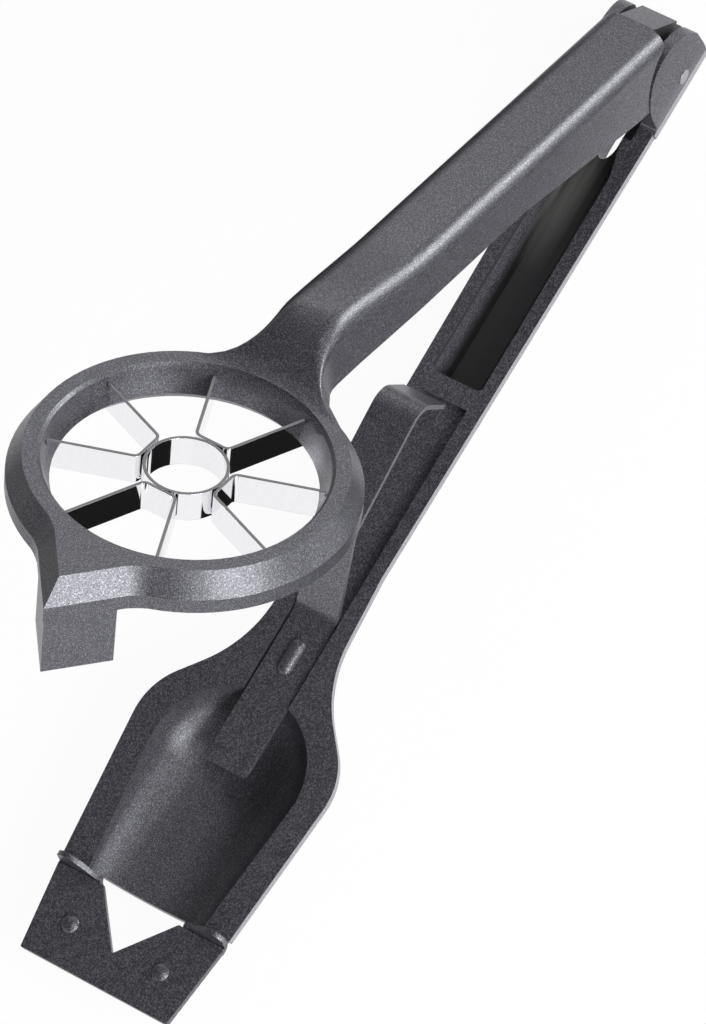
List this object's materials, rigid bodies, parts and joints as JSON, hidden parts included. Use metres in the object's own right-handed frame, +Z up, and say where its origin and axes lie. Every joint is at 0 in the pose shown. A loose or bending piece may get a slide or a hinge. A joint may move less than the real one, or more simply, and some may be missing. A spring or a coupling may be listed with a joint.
{
  "type": "radish carving tool",
  "caption": "Hinged hand tool that presses a radish between a scoop with a V-notched plate and a ring with a star of thin blades and a V punch.",
  "frame": {"origin": "on the rest plane, straight below the middle of the hinge axis", "axes": "+X from the hinge to the V notch, +Y to the left when looking forward from the hinge (the right side in the picture), +Z up from the rest plane"},
  "size_m": [0.175, 0.0516, 0.1003],
  "materials": {
    "casting": "dark grey textured coat on die-cast metal",
    "coated_sheet": "dark grey textured coat on sheet steel",
    "bright_steel": "polished stainless strip"
  },
  "bodies": {
    "lower": {"lower_arm": "casting", "hinge_pin": "bright_steel", "die_plate": "coated_sheet", "die_rivet_left": "coated_sheet", "die_rivet_right": "coated_sheet", "leaf_spring": "coated_sheet", "spring_rivet": "casting"},
    "upper": {"upper_arm": "casting", "blade_front": "bright_steel", "blade_right": "bright_steel", "blade_rear": "bright_steel", "blade_left": "bright_steel", "core_ring": "bright_steel"}
  },
  "joints": [
    {"name": "hinge", "type": "hinge", "parent": "lower", "child": "upper", "pos_m": [0, 0, 0.0115], "axis": [0, -1, 0], "range_deg": [-32.4, 0], "deforming": ["leaf_spring"]}
  ]
}
